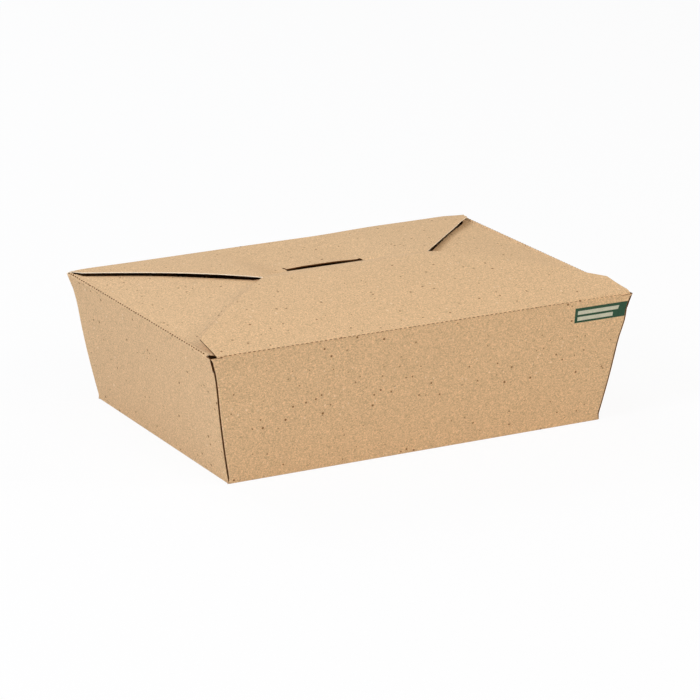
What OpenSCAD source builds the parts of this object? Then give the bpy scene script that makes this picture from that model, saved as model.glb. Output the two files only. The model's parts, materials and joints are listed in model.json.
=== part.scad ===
// Takeaway box, one blank of kraft board folded up and closed. Sizes are in millimetres.
// The origin is the centre of the base, on the table. X runs along the long walls, Z is up.
// The flap that opens first hinges on the top fold of the long wall at -Y.

/* [Board] */
// Thickness of the board
board_t = 0.45; // [0.35:0.05:0.6]
// Free space between layers of board that lie on each other without glue
layer_gap = 0.3; // [0.25:0.05:0.5]

// Outer radius of the folds around the base
fold_r = 0.9; // [0.7:0.05:1.5]

/* [Tray] */
// Length of the base
base_l = 197; // [180:1:230]
// Width of the base
base_w = 140; // [128:1:152]
// Height from the table to the top folds
tray_h = 63.5; // [45:0.5:90]
// Distance that each end wall leans out from base to top fold
flare_end = 11.75; // [8:0.25:15]
// Distance that each long wall leans out from base to top fold
flare_side = 7.75; // [5:0.25:11]

/* [Corner webs] */
// Drop of the webs' top edge below the top folds
web_drop = 7.5; // [2:0.5:12]
// Height above the table at which the corner slots start
slot_start = 1.5; // [1:0.5:4]
// Gap along the perforated fold of the opening flap
fold_gap = 0.15; // [0.1:0.05:0.3]
// Reach of the deeper cut at each end of that fold
notch_l = 4.5; // [2:0.5:8]
// Height of the gap at that cut
notch_h = 0.8; // [0.4:0.1:1.5]

/* [End flaps] */
// Distance from the middle of the box to the tip of each end flap
end_tip_x = 42.25; // [38:0.25:50]
// Width of an end flap's tip
end_tip_w = 20; // [12:1:30]
// Distance from the corner of the tray to the side of an end flap
end_inset = 3; // [3:0.5:8]
// Free height between an end flap's tip and the back flap above it
end_under = 0.9; // [0.4:0.1:1.5]

/* [Front flap] */
// Height of the domed crest above the top folds
crest_lift = 9; // [7.5:0.25:11]
// Angle at which the flap leaves its fold
rise_angle = 9.5; // [9:0.1:11]
// Angle at which it falls from the crest to the tongue's root
fall_angle = 17; // [14:0.5:20]
// Radius of the bend at the crest
crest_r = 30; // [20:1:40]
// Height of the tongue's root above the top folds
root_lift = 2; // [1.8:0.1:4]
// Distance of the tongue's root behind the middle of the box
root_behind = 23.75; // [20:0.25:27]
// Width of the flap at the tongue's root
root_w = 41; // [37:1:48]
// Depth of the straight side between the fold and the chamfer
front_side = 17.5; // [12:0.5:24]
// Distance from the corner of the tray to the flap's side
front_inset = 1.75; // [1:0.25:4]

/* [Tongue] */
// Width of the tongue's neck
neck_w = 31; // [22:1:36]
// Width of the tongue's head
head_w = 37; // [28:1:40]
// Length of the neck
neck_l = 4.5; // [3:0.5:6]
// Length of the tongue below its bend
tongue_l = 12; // [9:0.5:16]
// Outer radius of the bend from the flap into the tongue
bend_r = 3; // [2:0.25:4]
// Radius of the head's lower corners
head_r = 4; // [2:0.5:5]

/* [Back flap] */
// Distance of the flap's free edge before the middle of the box
free_before = 12.25; // [6:0.25:18]
// Depth of the short side between the fold and the chamfer
back_side = 8; // [5:0.5:12]
// Distance from the corner of the tray to the flap's side at the chamfer
back_inset = 3.5; // [1.5:0.25:6]
// Half width at which the chamfers of the two long flaps cross
cross_x = 45; // [40:1:50]
// Distance of that crossing behind the middle of the box
cross_behind = 2.25; // [0:0.25:5]
// Length of the slit that takes the tongue
slit_l = 41.5; // [40:0.5:48]
// Free space behind the tongue as it swings out of its slit
slit_play = 0.7; // [0.4:0.1:1.2]
// Reach of the small return cuts at the ends of the slit
hook_l = 1; // [0.5:0.5:6]
// Width of the return cuts
hook_w = 0.6; // [0.4:0.1:1]
// Radius of the corners of the free edges
tip_r = 5; // [2:0.5:8]

/* [Hidden] */
$fn = 48;
kraft = "burlywood";
end_lean = atan(flare_end / tray_h);
side_lean = atan(flare_side / tray_h);
rim_l = base_l + 2 * flare_end;
rim_w = base_w + 2 * flare_side;
over = 1;
bite = 0.1;
seat = 0.04;
fold_steps = 5;
sharp_r = 0.01;
overhang = 40;
shoulder_r = 1;
shoulder_drop = 3;

// A web is the board between two walls, folded in half: its fold leaves the base corner at half the
// angle that the base and the two walls leave free in the flat blank.
side_slant = tray_h / cos(side_lean);
end_slant = tray_h / cos(end_lean);
side_corner = 90 + atan(flare_end / side_slant);
end_corner = 90 + atan(flare_side / end_slant);
web_half = (360 - 90 - side_corner - end_corner) / 2;
web_fold_lean = web_half - atan(flare_side / end_slant);
web_top = tray_h - web_drop;

// The front flap leaves its fold straight, bends in a wide arc to the crest and in a tighter one
// from there, and falls straight to the tongue's root. Both arcs are level at the crest.
root_run = rim_w / 2 + root_behind;
cross_run = rim_w / 2 + cross_behind;
fall_drop = crest_lift - root_lift;
fall_straight = (fall_drop - crest_r * (1 - cos(fall_angle))) / tan(fall_angle);
crest_run = root_run - fall_straight - crest_r * sin(fall_angle);
rise_r = (crest_run * tan(rise_angle) - crest_lift) / (1 / cos(rise_angle) - 1);
rise_start = crest_run - rise_r * sin(rise_angle);
rise_steps = 16;
fall_steps = 7;
bend_steps = 8;

// The tongue hangs straight down and leaves the slit on an arc about the flap's fold.
bend_run = root_run - bend_r * sin(fall_angle);
tongue_run = bend_run + bend_r;
tongue_top = root_lift - bend_r * cos(fall_angle);
tongue_end = tongue_top - tongue_l;
swing_r = norm([tongue_run, tongue_end]);
slit_near = root_behind - layer_gap;
slit_far = swing_r + slit_play - rim_w / 2;

// The back flap fans out from its fold: low along the slit, and just under the front flap where
// the chamfers cross.
back_mid_lift = root_lift - board_t / cos(fall_angle) - layer_gap;
back_side_lift = front_lift(cross_run) - board_t - layer_gap;
back_mid_slope = back_mid_lift / (rim_w - root_run);
back_side_slope = back_side_lift / (rim_w - cross_run);
across_steps = 28;
along_steps = 5;

// An end flap is flat. Its tip stays a set height under the back flap.
end_flap_l = rim_l / 2 - end_tip_x;
end_tip_lift = back_lift(end_tip_x, (rim_w - end_tip_w) / 2) - board_t - end_under;
end_rise = atan(end_tip_lift / end_flap_l);

// Height of the front flap's upper face above the top folds, a given run from its fold
function front_lift(run) =
    run < rise_start ? run * tan(rise_angle)
    : run < crest_run ? crest_lift - rise_r + sqrt(rise_r * rise_r - pow(crest_run - run, 2))
    : run < root_run - fall_straight
        ? crest_lift - crest_r + sqrt(crest_r * crest_r - pow(run - crest_run, 2))
    : root_lift + (root_run - run) * tan(fall_angle);

function smooth(s) = let (c = max(0, min(1, s))) c * c * (3 - 2 * c);

// Slope of the back flap across its fold, a given distance from the middle of the box
function back_slope(x) = back_mid_slope
    + (back_side_slope - back_mid_slope) * smooth((abs(x) - root_w / 2) / (cross_x - root_w / 2));

function back_lift(x, run) = run * back_slope(x);

// Section of a tray that widens upwards by lean, with its lower corners rounded
function tray_section(half_low, lean, low, high, radius) =
    let (
        centre_x = half_low + radius * tan(lean) - radius / cos(lean),
        side = concat(
            [
                for (k = [0:fold_steps])
                    let (turn = -90 + (90 - lean) * k / fold_steps)
                        [centre_x, low + radius] + radius * [cos(turn), sin(turn)]
            ],
            [[half_low + (high - low) * tan(lean), high]]
        )
    )
        concat(side, [for (k = [len(side) - 1:-1:0]) [-side[k][0], side[k][1]]]);

// A prism along Y whose section is the tray's long section, set in from the outer faces
module end_prism(inset, low, high, radius = sharp_r) {
    half_low = base_l / 2 + low * tan(end_lean) - inset / cos(end_lean);
    rotate([90, 0, 0])
        linear_extrude(height = rim_w + overhang, center = true)
            polygon(tray_section(half_low, end_lean, low, high, radius));
}

// The same along X, for the long walls
module side_prism(inset, low, high, radius = sharp_r) {
    half_low = base_w / 2 + low * tan(side_lean) - inset / cos(side_lean);
    rotate([90, 0, 90])
        linear_extrude(height = rim_l + overhang, center = true)
            polygon(tray_section(half_low, side_lean, low, high, radius));
}

module trough(inset, low, high) {
    intersection() {
        end_prism(inset, low, high, fold_r - inset);
        side_prism(inset, low, high, fold_r - inset);
    }
}

// The two layers of a folded web, glued to the inside of an end wall
module webs() {
    fold_y = web_top / cos(end_lean) * tan(web_fold_lean) - base_w / 2;
    edge_y = -base_w / 2 - flare_side;
    intersection() {
        difference() {
            end_prism(board_t - bite, 0, tray_h);
            end_prism(3 * board_t, -over, tray_h + over);
        }
        trough(board_t - bite, board_t - bite, tray_h);
        for (turn = [0, 1]) {
            mirror([0, turn, 0])
                rotate([90, 0, 90])
                    linear_extrude(height = rim_l + overhang, center = true)
                        polygon([[-base_w / 2, 0], [edge_y, web_top], [fold_y, web_top]]);
        }
    }
}

// The narrow slots between an end wall's rolled edge and the long wall beside it
module corner_slots() {
    intersection() {
        difference() {
            end_prism(board_t, slot_start, tray_h);
            end_prism(2 * board_t, slot_start - over, tray_h + over);
        }
        difference() {
            side_prism(-over, slot_start - over, tray_h + over);
            side_prism(board_t, slot_start - 2 * over, tray_h + 2 * over);
        }
    }
}

module tray() {
    difference() {
        union() {
            difference() {
                trough(0, 0, tray_h);
                trough(board_t, board_t, tray_h + over);
            }
            webs();
        }
        corner_slots();
        // The opening flap lies on this wall's top edge, with a deeper cut at both ends
        translate([-rim_l / 2 - over, -rim_w / 2 - over, tray_h - board_t - fold_gap])
            cube([rim_l + 2 * over, over + 2 * board_t, board_t + fold_gap + over]);
        for (turn = [0, 1])
            mirror([turn, 0, 0])
                translate([rim_l / 2 - notch_l, -rim_w / 2 - over, tray_h - board_t - notch_h])
                    cube([notch_l + over, over + 2 * board_t, board_t + notch_h + over]);
    }
}

// Outline of an end flap, drawn with its fold on the Y axis and its tip towards +X
module end_outline() {
    root = rim_w / 2 - end_inset;
    tip = end_tip_w / 2;
    hull() {
        polygon([[0, -root], [0, root], [board_t, root], [board_t, -root]]);
        for (side = [-1, 1])
            translate([end_flap_l - tip_r, side * (tip - tip_r)])
                circle(r = tip_r);
    }
}

module end_flap() {
    intersection() {
        translate([0, 0, -over])
            linear_extrude(height = tray_h)
                end_outline();
        rotate([0, -end_rise, 0])
            translate([0, -rim_w / 2, -board_t])
                cube([2 * end_flap_l, rim_w, board_t]);
    }
}

// Outline of the back flap in plan, with the slit and its return cuts
module back_outline() {
    shoulder_x = rim_l / 2 - back_inset;
    shoulder_y = rim_w / 2 - back_side;
    lean = (shoulder_x - cross_x) / (shoulder_y - cross_behind);
    free_x = cross_x - lean * (cross_behind + free_before);
    difference() {
        polygon([
            [-rim_l / 2 + front_inset, rim_w / 2], [-shoulder_x, shoulder_y],
            [-free_x, -free_before], [free_x, -free_before],
            [shoulder_x, shoulder_y], [rim_l / 2 - front_inset, rim_w / 2]
        ]);
        translate([-slit_l / 2, slit_near])
            square([slit_l, slit_far - slit_near]);
        for (side = [-1, 1])
            translate([side * (slit_l - hook_w) / 2 - hook_w / 2, slit_near])
                square([hook_w, slit_far - slit_near + hook_l]);
    }
}

// The fanned sheet that the back flap is cut from, as one closed grid of two faces
module back_sheet() {
    nx = across_steps;
    ny = along_steps;
    row = nx + 1;
    sheet_run = rim_w / 2 + free_before + over;
    top = [
        for (j = [0:ny])
            for (i = [0:nx])
                let (x = rim_l * (i / nx - 0.5), run = sheet_run * j / ny)
                    [x, rim_w / 2 - seat - run, back_lift(x, run) - seat / 2]
    ];
    low = [for (p = top) p - [0, 0, board_t]];
    count = len(top);
    upper_faces = [
        for (j = [0:ny - 1])
            for (i = [0:nx - 1])
                let (a = j * row + i)
                    each [[a, a + 1, a + row], [a + 1, a + row + 1, a + row]]
    ];
    lower_faces = [for (f = upper_faces) [f[2] + count, f[1] + count, f[0] + count]];
    rim = concat(
        [for (i = [0:nx]) i],
        [for (j = [1:ny]) j * row + nx],
        [for (i = [nx - 1:-1:0]) ny * row + i],
        [for (j = [ny - 1:-1:1]) j * row]
    );
    rim_faces = [
        for (k = [0:len(rim) - 1])
            let (a = rim[k], b = rim[(k + 1) % len(rim)])
                each [[b, a, a + count], [b, a + count, b + count]]
    ];
    polyhedron(points = concat(top, low), faces = concat(upper_faces, lower_faces, rim_faces));
}

module back_flap() {
    intersection() {
        back_sheet();
        translate([0, 0, -2 * over])
            linear_extrude(height = tray_h)
                back_outline();
    }
}

// Everything that stays with the tray when the front flap is opened
module carton() {
    color(kraft) {
        union() {
            tray();
            for (turn = [0, 180])
                rotate([0, 0, turn])
                    translate([seat - rim_l / 2, 0, tray_h - seat / 2])
                        end_flap();
            translate([0, 0, tray_h])
                back_flap();
        }
    }
}

// Points on an arc that is level at its top, from one turn to another, a given depth inside it
function arc_points(top, radius, from, to, steps, depth) = [
    for (k = [0:steps])
        let (turn = from + (to - from) * k / steps)
            top - [0, radius] + (radius - depth) * [sin(turn), cos(turn)]
];

// Section of the front flap, run against height, a given depth under its upper face
function flap_points(depth) =
    let (crest = [crest_run, crest_lift])
        concat(
            [[depth * sin(rise_angle), -depth * cos(rise_angle)]],
            arc_points(crest, rise_r, -rise_angle, 0, rise_steps, depth),
            arc_points(crest, crest_r, fall_angle / fall_steps, fall_angle, fall_steps - 1, depth),
            [[root_run, root_lift] - depth * [sin(fall_angle), cos(fall_angle)]]
        );

function tongue_points(depth) = concat(
    arc_points([bend_run, tongue_top + bend_r], bend_r, fall_angle, 90, bend_steps, depth),
    [[tongue_run - depth, tongue_end]]
);

function backwards(points) = [for (k = [len(points) - 1:-1:0]) points[k]];

// A bent strip of board: a section of run against height, carried across the box
module strip(upper, lower, width) {
    rotate([90, 0, 90])
        linear_extrude(height = width, center = true)
            polygon(concat(upper, backwards(lower)));
}

module front_outline() {
    shoulder_x = rim_l / 2 - front_inset;
    polygon([
        [-shoulder_x, 0], [shoulder_x, 0], [shoulder_x, front_side],
        [cross_x, cross_run], [root_w / 2, root_run + board_t], [-root_w / 2, root_run + board_t],
        [-cross_x, cross_run], [-shoulder_x, front_side]
    ]);
}

module tongue_outline() {
    neck_end = tongue_top - neck_l;
    union() {
        translate([-neck_w / 2, neck_end - board_t])
            square([neck_w, crest_lift - neck_end]);
        hull() {
            translate([-neck_w / 2, neck_end - over])
                square([neck_w, over]);
            for (side = [-1, 1]) {
                translate([side * (head_w / 2 - shoulder_r), neck_end - shoulder_drop])
                    circle(r = shoulder_r);
                translate([side * (head_w / 2 - head_r), tongue_end + head_r])
                    circle(r = head_r);
            }
        }
    }
}

module front_flap() {
    color(kraft)
        translate([0, -rim_w / 2, tray_h])
            union() {
                intersection() {
                    strip(flap_points(0), flap_points(board_t), rim_l);
                    translate([0, 0, -2 * over])
                        linear_extrude(height = crest_lift + 4 * over)
                            front_outline();
                }
                intersection() {
                    strip(tongue_points(0), tongue_points(board_t), head_w + over);
                    translate([0, 2 * root_run, 0])
                        rotate([90, 0, 0])
                            linear_extrude(height = 2 * root_run)
                                tongue_outline();
                }
            }
}

carton();
front_flap();
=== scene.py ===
"""Looks of a folded takeaway box: one blank of kraft board with glued corner webs, whose front and
back flaps lap over the end flaps and lock with a tongue in a slit."""

import json
import math

import bmesh
import bpy
from mathutils import Matrix, Vector


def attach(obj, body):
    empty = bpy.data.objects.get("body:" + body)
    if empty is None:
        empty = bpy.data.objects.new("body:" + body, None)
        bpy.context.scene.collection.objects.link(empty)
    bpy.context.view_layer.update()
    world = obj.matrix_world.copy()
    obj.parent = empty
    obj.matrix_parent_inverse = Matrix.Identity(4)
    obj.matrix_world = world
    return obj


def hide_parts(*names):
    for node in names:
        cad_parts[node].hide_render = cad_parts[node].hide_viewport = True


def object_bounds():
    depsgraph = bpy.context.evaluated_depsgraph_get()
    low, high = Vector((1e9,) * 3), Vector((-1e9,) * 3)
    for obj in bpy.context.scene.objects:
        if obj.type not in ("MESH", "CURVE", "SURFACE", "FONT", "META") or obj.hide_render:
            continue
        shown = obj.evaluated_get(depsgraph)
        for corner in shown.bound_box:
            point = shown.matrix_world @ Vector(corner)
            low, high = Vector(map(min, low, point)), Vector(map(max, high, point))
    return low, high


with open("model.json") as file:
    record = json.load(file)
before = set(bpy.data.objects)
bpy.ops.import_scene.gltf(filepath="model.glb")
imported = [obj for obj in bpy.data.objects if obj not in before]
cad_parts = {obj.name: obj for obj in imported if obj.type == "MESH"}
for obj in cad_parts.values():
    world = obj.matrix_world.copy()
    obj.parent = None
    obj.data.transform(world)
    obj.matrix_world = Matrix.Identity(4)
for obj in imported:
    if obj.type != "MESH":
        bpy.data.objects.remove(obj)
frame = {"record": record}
cad_box = [[float(v) for v in corner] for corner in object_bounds()]

MM = 0.001

# Sizes in millimetres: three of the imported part's, then the driving sizes that part.scad gives
fold_joint = frame["record"]["behaviour"]["joints"][0]
RIM_Z = fold_joint["pos_m"][2] / MM
RIM_HALF_Y = -fold_joint["pos_m"][1] / MM
RIM_HALF_X = cad_box[1][0] / MM
BASE_HALF_X = 98.5
BASE_HALF_Y = 70.0
BOARD = 0.45
FOLD_REACH = 0.9
WEB_TOP = 56.0

END_LEAN = math.atan((RIM_HALF_X - BASE_HALF_X) / RIM_Z)
SIDE_LEAN = math.atan((RIM_HALF_Y - BASE_HALF_Y) / RIM_Z)


def lerp(a, b, t):
    return a + (b - a) * t


def clamp(value, low=0.0, high=1.0):
    return max(low, min(high, value))


def smooth(value):
    t = clamp(value)
    return t * t * (3 - 2 * t)


def end_plane(z):
    """Half length of the box between the outer planes of its end walls at a height."""
    return lerp(BASE_HALF_X, RIM_HALF_X, z / RIM_Z)


def side_plane(z):
    """Half width of the box between the outer planes of its long walls at a height."""
    return lerp(BASE_HALF_Y, RIM_HALF_Y, z / RIM_Z)


# Camera
VIEW_AZIMUTH = math.radians(-28.6)
VIEW_ELEVATION = math.radians(17.346)
VIEW_ROLL = math.radians(0.265)
VIEW_DISTANCE = 1.64007
VIEW_TARGET = Vector((0.00065, -0.00182, 0.03014))
SENSOR = 36.0
FOCAL_SHARE = 4.9042


def add_camera():
    back = Vector((
        math.sin(VIEW_AZIMUTH) * math.cos(VIEW_ELEVATION),
        -math.cos(VIEW_AZIMUTH) * math.cos(VIEW_ELEVATION),
        math.sin(VIEW_ELEVATION),
    ))
    level = Vector((math.cos(VIEW_AZIMUTH), math.sin(VIEW_AZIMUTH), 0))
    upright = back.cross(level)
    right = math.cos(VIEW_ROLL) * level + math.sin(VIEW_ROLL) * upright
    up = -math.sin(VIEW_ROLL) * level + math.cos(VIEW_ROLL) * upright
    data = bpy.data.cameras.new("product_view")
    data.sensor_width = SENSOR
    data.lens = FOCAL_SHARE * SENSOR
    data.clip_start = 0.05
    data.clip_end = 20
    camera = bpy.data.objects.new("product_view", data)
    place = Matrix((right, up, back)).transposed().to_4x4()
    place.translation = VIEW_TARGET + VIEW_DISTANCE * back
    camera.matrix_world = place
    bpy.context.scene.collection.objects.link(camera)
    bpy.context.scene.camera = camera


add_camera()


# Node helpers
def set_inputs(tree, node, inputs):
    """Links a node's inputs to sockets, or sets them to values. Colours are given without alpha."""
    for name, value in inputs.items():
        slot = node.inputs[name]
        if isinstance(value, bpy.types.NodeSocket):
            tree.links.new(value, slot)
        elif slot.type == "RGBA":
            slot.default_value = (*value, 1.0)
        else:
            slot.default_value = value


def new_node(tree, kind, inputs=None, **settings):
    node = tree.nodes.new(kind)
    for name, value in settings.items():
        setattr(node, name, value)
    set_inputs(tree, node, inputs or {})
    return node


def new_group(name, inputs, outputs):
    """A shader node group with named sockets, and its two end nodes."""
    group = bpy.data.node_groups.new(name, "ShaderNodeTree")
    for label, kind, value in inputs:
        socket = group.interface.new_socket(label, in_out="INPUT", socket_type=kind)
        if value is not None:
            socket.default_value = value
    for label, kind in outputs:
        group.interface.new_socket(label, in_out="OUTPUT", socket_type=kind)
    return group, group.nodes.new("NodeGroupInput"), group.nodes.new("NodeGroupOutput")


def math_node(tree, operation, *values):
    inputs = dict(enumerate(values))
    return new_node(tree, "ShaderNodeMath", inputs, operation=operation).outputs[0]


# Shader groups that the board's finishes share
# Stretch, scale and detail of two crossed sets of fine fibres, of the clouds and of the mottling
FIBRE_LAYERS = (
    ((1.0, 0.6, 1.0), 2300, 1.0),
    ((0.6, 1.0, 0.7), 2000, 1.0),
    ((1.0, 1.0, 1.0), 520, 1.0),
    ((1.0, 1.0, 1.0), 55, 2.0),
)
FIBRE_WAVER = 0.6
SPECK_CORE = 0.6
SPECK_RIM = 1.1


def make_fibres():
    """Fine felted fibres, softer clouds and slow mottling of the board, as a tone about zero."""
    group, start, end = new_group(
        "board_fibres",
        [("Vector", "NodeSocketVector", None), ("Fine", "NodeSocketFloat", 1.0),
         ("Cloud", "NodeSocketFloat", 1.0), ("Mottle", "NodeSocketFloat", 1.0)],
        [("Tone", "NodeSocketFloat"), ("Height", "NodeSocketFloat")],
    )
    layers = []
    for stretch, scale, detail in FIBRE_LAYERS:
        mapping = new_node(group, "ShaderNodeMapping", {
            "Vector": start.outputs["Vector"], "Scale": stretch,
        })
        noise = new_node(group, "ShaderNodeTexNoise", {
            "Vector": mapping.outputs["Vector"], "Scale": scale, "Detail": detail,
            "Distortion": FIBRE_WAVER,
        })
        layers.append(math_node(group, "SUBTRACT", noise.outputs[0], 0.5))
    fine = math_node(group, "ADD", layers[0], layers[1])
    fine_part = math_node(group, "MULTIPLY", fine, start.outputs["Fine"])
    cloud_part = math_node(group, "MULTIPLY", layers[2], start.outputs["Cloud"])
    mottle_part = math_node(group, "MULTIPLY", layers[3], start.outputs["Mottle"])
    tone = math_node(group, "ADD", math_node(group, "ADD", fine_part, cloud_part), mottle_part)
    set_inputs(group, end, {"Tone": tone, "Height": math_node(group, "ADD", fine, layers[2])})
    return group


def make_specks():
    """Round specks of uneven size, scattered through the board, as a mask."""
    group, start, end = new_group(
        "board_specks",
        [("Vector", "NodeSocketVector", None), ("Spacing", "NodeSocketFloat", 250.0),
         ("Size", "NodeSocketFloat", 0.08), ("Share", "NodeSocketFloat", 1.0)],
        [("Mask", "NodeSocketFloat")],
    )
    cells = new_node(group, "ShaderNodeTexVoronoi", {
        "Vector": start.outputs["Vector"], "Scale": start.outputs["Spacing"],
    }, feature="F1")
    chosen = new_node(group, "ShaderNodeSeparateColor", {"Color": cells.outputs["Color"]})
    growth = math_node(group, "ADD", chosen.outputs[1], 0.5)
    size = math_node(group, "MULTIPLY", start.outputs["Size"], growth)
    inside = math_node(group, "DIVIDE", cells.outputs["Distance"], size)
    fade = new_node(group, "ShaderNodeMapRange", {
        "Value": inside, "From Min": SPECK_CORE, "From Max": SPECK_RIM,
        "To Min": 1.0, "To Max": 0.0,
    })
    kept = math_node(group, "LESS_THAN", chosen.outputs[0], start.outputs["Share"])
    set_inputs(group, end, {"Mask": math_node(group, "MULTIPLY", fade.outputs[0], kept)})
    return group


FIBRES = make_fibres()
SPECKS = make_specks()


def place_group(tree, group, vector, inputs):
    return new_node(tree, "ShaderNodeGroup", {"Vector": vector, **inputs}, node_tree=group)


def mix_colour(tree, factor, low, high, blend="MIX"):
    inputs = {0: factor, 6: low, 7: high}
    return new_node(tree, "ShaderNodeMix", inputs, data_type="RGBA", blend_type=blend).outputs[2]


BOARD_FIBRES = {"Fine": 2.1, "Cloud": 0.2, "Mottle": 0.12}
INK_FIBRES = {"Fine": 1.0, "Cloud": 0.6, "Mottle": 0.2}
DARK_SPECKS = {"Spacing": 260.0, "Size": 0.125}
PALE_FLECKS = {"Spacing": 300.0, "Size": 0.11}
PALE_PLACE = {"Location": (0.31, 0.17, 0.23), "Scale": (1.0, 0.5, 0.7)}
SPECK_BROWN = (0.19, 0.08, 0.02)
SPECK_STRENGTH = 0.92
FLECK_STRAW = (0.92, 0.72, 0.47)
FLECK_STRENGTH = 0.5
FIBRE_RELIEF = 0.0001
BOARD_GLOSS = 0.25
INK_GLOSS = 0.3
INK_ROUGHNESS = 0.55


def new_material(name):
    """A node material, with its tree, its shader and the object's own coordinates."""
    material = bpy.data.materials.new(name)
    material.use_nodes = True
    tree = material.node_tree
    place = tree.nodes.new("ShaderNodeTexCoord").outputs["Object"]
    return material, tree, tree.nodes["Principled BSDF"], place


def fibred_colour(tree, colour, fibres, contrast):
    """A colour made lighter and darker by the fibres' tone."""
    tone = math_node(tree, "MULTIPLY", fibres.outputs["Tone"], contrast)
    gain = math_node(tree, "ADD", tone, 1.0)
    grey = new_node(tree, "ShaderNodeCombineColor", {0: gain, 1: gain, 2: gain})
    return mix_colour(tree, 1.0, colour, grey.outputs[0], "MULTIPLY")


def board_finish(
    name, colour, contrast=0.2, roughness=0.9, bump=0.2, dark_specks=0.0, pale_flecks=0.0
):
    """Uncoated kraft board: a base colour with fibres, dark specks and pale flecks in it."""
    material, tree, shader, place = new_material(name)
    fibres = place_group(tree, FIBRES, place, BOARD_FIBRES)
    base = fibred_colour(tree, colour, fibres, contrast)
    dark = place_group(tree, SPECKS, place, {**DARK_SPECKS, "Share": dark_specks})
    dark_mask = math_node(tree, "MULTIPLY", dark.outputs["Mask"], SPECK_STRENGTH)
    base = mix_colour(tree, dark_mask, base, SPECK_BROWN)
    moved = new_node(tree, "ShaderNodeMapping", {"Vector": place, **PALE_PLACE})
    pale = place_group(tree, SPECKS, moved.outputs["Vector"], {**PALE_FLECKS, "Share": pale_flecks})
    pale_mask = math_node(tree, "MULTIPLY", pale.outputs["Mask"], FLECK_STRENGTH)
    base = mix_colour(tree, pale_mask, base, FLECK_STRAW)
    relief = new_node(tree, "ShaderNodeBump", {
        "Strength": bump, "Distance": FIBRE_RELIEF, "Height": fibres.outputs["Height"],
    })
    set_inputs(tree, shader, {
        "Base Color": base, "Roughness": roughness, "Specular IOR Level": BOARD_GLOSS,
        "Normal": relief.outputs["Normal"],
    })
    return material


def ink_finish(name, colour, show_through):
    """Matt ink printed on the board, with the fibres showing faintly through it."""
    material, tree, shader, place = new_material(name)
    fibres = place_group(tree, FIBRES, place, INK_FIBRES)
    set_inputs(tree, shader, {
        "Base Color": fibred_colour(tree, colour, fibres, show_through),
        "Roughness": INK_ROUGHNESS, "Specular IOR Level": INK_GLOSS,
    })
    return material


kraft_outside = board_finish(
    "kraft_outside", (0.685, 0.466, 0.256), contrast=0.42, roughness=0.86, bump=0.5,
    dark_specks=0.6, pale_flecks=0.8,
)
kraft_inside = board_finish(
    "kraft_inside", (0.66, 0.445, 0.245), contrast=0.26, roughness=0.7, bump=0.35,
    dark_specks=0.6, pale_flecks=0.6,
)
cut_edge = board_finish("board_cut_edge", (1.0, 0.88, 0.68))
# The front flap's cut edge: the board's own edge colour, dimmed below the tray's cut edge as
# painted shade.
dimmed_flap_edge = board_finish("flap_cut_edge_dimmed", (0.80, 0.60, 0.39))
edge_shade = board_finish("edge_in_shade", (0.07, 0.028, 0.006))
# Painted shade: a dark brown board colour for the faces deep in the webs' folds, the inner corner
# rims and the slit's rims, where shade falls.
painted_crevice_shade = board_finish("painted_crevice_shade", (0.13, 0.045, 0.006), contrast=0.3, roughness=0.95)
# Painted shade: the perforations are dark rods sunk in the folds, coloured as the shade inside the
# cuts.
perforation_shade = board_finish("perforation_cut_shade", (0.13, 0.05, 0.008), contrast=0.3, roughness=0.95)
green_ink = ink_finish("green_ink", (0.013, 0.062, 0.028), 0.5)
pale_ink = ink_finish("unprinted_bars", (0.56, 0.56, 0.42), 0.3)


# Mesh helpers
OUTSIDE, CUT, INSIDE, SHADED = range(4)
SMOOTH_LIMIT = math.radians(38)
FOLD_STEPS = 5


def mesh_object(name, faces, weld=0.004, hidden=()):
    """An object from quads given by their corners in millimetres, with shared corners merged. The
    hidden faces, deep in a fold, get the fourth material, which carries painted shade."""
    bm = bmesh.new()
    for quads, slot in ((faces, OUTSIDE), (hidden, SHADED)):
        for corners in quads:
            face = bm.faces.new([bm.verts.new([c * MM for c in corner]) for corner in corners])
            face.material_index = slot
    bmesh.ops.remove_doubles(bm, verts=bm.verts, dist=weld * MM)
    bmesh.ops.dissolve_degenerate(bm, edges=bm.edges, dist=weld * MM)
    mesh = bpy.data.meshes.new(name)
    bm.to_mesh(mesh)
    bm.free()
    obj = bpy.data.objects.new(name, mesh)
    bpy.context.scene.collection.objects.link(obj)
    return obj


def grid_faces(rows, keep=None):
    """Quads between rows of points. The rows run up a wall and their points to its right, seen from
    outside."""
    faces = []
    for i in range(len(rows) - 1):
        for j in range(len(rows[i]) - 1):
            if keep is None or keep(i, j):
                faces.append((rows[i][j], rows[i][j + 1], rows[i + 1][j + 1], rows[i + 1][j]))
    return faces


def thicken(obj, materials):
    """Gives an outer skin the board's thickness inwards. The materials are outside, cut edge and
    inside, and then the same for the hidden faces."""
    for material in materials:
        obj.data.materials.append(material)
    shell = obj.modifiers.new("board", "SOLIDIFY")
    shell.thickness = BOARD * MM
    shell.offset = -1
    shell.use_rim = True
    shell.material_offset_rim = CUT
    shell.material_offset = INSIDE


def settle(obj):
    """Replaces an object's live modifiers by their result, as a plain mesh with smooth folds."""
    graph = bpy.context.evaluated_depsgraph_get()
    result = bpy.data.meshes.new_from_object(
        obj.evaluated_get(graph), preserve_all_data_layers=True, depsgraph=graph
    )
    obj.modifiers.clear()
    obj.data = result
    result.shade_smooth()
    result.set_sharp_from_angle(angle=SMOOTH_LIMIT)
    return obj


def rounded_fold(corner, below, above, reach, steps=FOLD_STEPS):
    """Points round a fold, from a point below its ideal corner to one above it."""
    start = corner + reach * below
    end = corner + reach * above
    return [
        (1 - q) ** 2 * start + 2 * q * (1 - q) * corner + q * q * end
        for q in (k / steps for k in range(steps + 1))
    ]


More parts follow.
